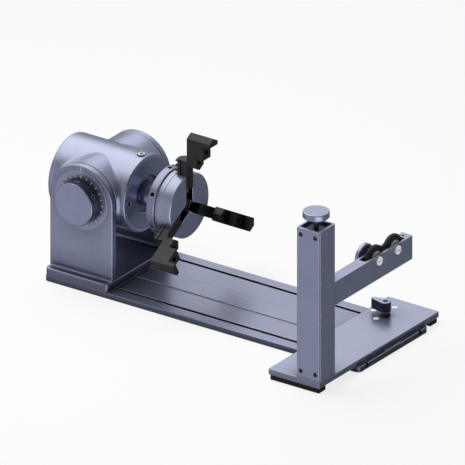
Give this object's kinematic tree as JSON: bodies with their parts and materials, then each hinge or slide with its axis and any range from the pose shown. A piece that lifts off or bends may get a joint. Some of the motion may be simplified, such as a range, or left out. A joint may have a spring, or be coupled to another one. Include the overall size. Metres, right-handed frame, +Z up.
{
  "type": "laser rotary attachment",
  "caption": "Tilting scroll-chuck head on a slotted base, with a sliding support that carries round work on rubber rollers under a laser.",
  "frame": {"origin": "centre of the base plate's underside, on the table plane", "axes": "+X from the chuck head to the roller support, along the spindle; +Z up; +Y away from the side with the tilt lock"},
  "size_m": [0.4672, 0.2446, 0.226],
  "materials": {
    "anodised": "satin blue-grey anodised",
    "anodised_top": "brushed blue-grey anodised",
    "black_steel": "black oxide, satin",
    "bright_steel": "polished",
    "dark_screw": "black oxide",
    "bearing_steel": "ground",
    "bronze": "machined",
    "motor_case": "semi-gloss black",
    "rubber": "matt black"
  },
  "bodies": {
    "base": {"base_plate": "anodised_top", "yoke": "anodised", "yoke_screws": "dark_screw", "front_bush": "bronze", "rear_bush": "bronze"},
    "head": {"head_housing": "anodised", "housing_plug": "bright_steel", "front_cap": "anodised", "front_cap_screws": "dark_screw", "rear_cover": "anodised", "rear_cover_screws": "dark_screw", "stepper_motor": "motor_case", "motor_screws": "dark_screw", "inlet_socket": "bright_steel", "rear_spindle_bearing": "bearing_steel", "front_spindle_bearing": "bearing_steel", "front_trunnion": "bearing_steel", "rear_trunnion": "bearing_steel", "dial_disc": "anodised", "trunnion_washer": "anodised", "trunnion_screw": "dark_screw"},
    "tilt_lock": {"tilt_knob": "anodised"},
    "chuck": {"spindle": "bearing_steel", "shaft_coupling": "anodised", "chuck_body": "anodised", "scroll_retainer": "bearing_steel"},
    "scroll": {"scroll_ring": "anodised"},
    "jaw_a": {"jaw_1": "black_steel"},
    "jaw_b": {"jaw_2": "black_steel"},
    "jaw_c": {"jaw_3": "black_steel"},
    "support": {"cross_plate": "anodised_top", "front_foot_pad": "rubber", "rear_foot_pad": "rubber", "guide_key": "bearing_steel", "guide_key_screws": "dark_screw", "plate_screws": "bright_steel", "column_channel": "anodised", "column_cover": "anodised", "cover_screws": "dark_screw", "column_screws": "dark_screw", "column_top_block": "anodised", "column_foot_block": "anodised", "clamp_nut": "bearing_steel", "clamp_boss": "bearing_steel"},
    "lift": {"lead_screw": "bearing_steel", "lift_knob": "anodised"},
    "arm_slide": {"arm": "anodised_top", "carriage": "anodised", "lead_nut": "bronze", "roller_axle_1": "bright_steel", "roller_axle_2": "bright_steel", "axle_collars": "bearing_steel"},
    "roller_a": {"roller_tyre_1": "rubber", "roller_bearing_1": "bearing_steel"},
    "roller_b": {"roller_tyre_2": "rubber", "roller_bearing_2": "bearing_steel"},
    "axle_nut": {"thumb_nut": "anodised"},
    "clamp": {"clamp_lever": "anodised", "clamp_stud": "dark_screw"}
  },
  "joints": [
    {"name": "head_tilt", "type": "hinge", "parent": "base", "child": "head", "pos_m": [-0.1797, 0, 0.111], "axis": [0, -1, 0], "range_deg": [0, 90]},
    {"name": "tilt_lock_turn", "type": "hinge", "parent": "head", "child": "tilt_lock", "pos_m": [-0.1797, -0.0687, 0.111], "axis": [0, 1, 0], "range_deg": [0, 270]},
    {"name": "spindle_spin", "type": "hinge", "parent": "head", "child": "chuck", "pos_m": [-0.1, 0, 0.111], "axis": [1, 0, 0], "continuous": true},
    {"name": "scroll_turn", "type": "hinge", "parent": "chuck", "child": "scroll", "pos_m": [-0.0946, 0, 0.111], "axis": [1, 0, 0], "range_deg": [-345, 980]},
    {"name": "jaw_a_slide", "type": "slide", "parent": "chuck", "child": "jaw_a", "axis": [0, 0, 1], "range_m": [-0.017, 0.006]},
    {"name": "jaw_b_slide", "type": "slide", "parent": "chuck", "child": "jaw_b", "axis": [0, -0.866, -0.5], "range_m": [-0.017, 0.006]},
    {"name": "jaw_c_slide", "type": "slide", "parent": "chuck", "child": "jaw_c", "axis": [0, 0.866, -0.5], "range_m": [-0.017, 0.006]},
    {"name": "support_slide", "type": "slide", "parent": "base", "child": "support", "axis": [1, 0, 0], "range_m": [-0.175, 0.004]},
    {"name": "lift_turn", "type": "hinge", "parent": "support", "child": "lift", "pos_m": [0.20345, -0.1278, 0.22], "axis": [0, 0, 1], "range_deg": [-5401, 6301]},
    {"name": "arm_lift", "type": "slide", "parent": "support", "child": "arm_slide", "axis": [0, 0, 1], "range_m": [-0.07, 0.06]},
    {"name": "roller_a_spin", "type": "hinge", "parent": "arm_slide", "child": "roller_a", "pos_m": [0.2094, -0.0188, 0.1231], "axis": [1, 0, 0], "continuous": true},
    {"name": "roller_b_spin", "type": "hinge", "parent": "arm_slide", "child": "roller_b", "pos_m": [0.2094, 0.0187, 0.1231], "axis": [1, 0, 0], "continuous": true},
    {"name": "axle_nut_turn", "type": "hinge", "parent": "arm_slide", "child": "axle_nut", "pos_m": [0.1956, -0.0188, 0.1231], "axis": [1, 0, 0], "range_deg": [0, 270]},
    {"name": "clamp_turn", "type": "hinge", "parent": "support", "child": "clamp", "pos_m": [0.175, 0.0542, 0.0256], "axis": [0, 0, 1], "range_deg": [0, 120]}
  ],
  "couplings": [
    {"joint": "jaw_a_slide", "follows": "scroll_turn", "m_per_rad": -0.00098676},
    {"joint": "jaw_b_slide", "follows": "scroll_turn", "m_per_rad": -0.00098676},
    {"joint": "jaw_c_slide", "follows": "scroll_turn", "m_per_rad": -0.00098676},
    {"joint": "lift_turn", "follows": "arm_lift", "rad_per_m": -1570.8}
  ]
}
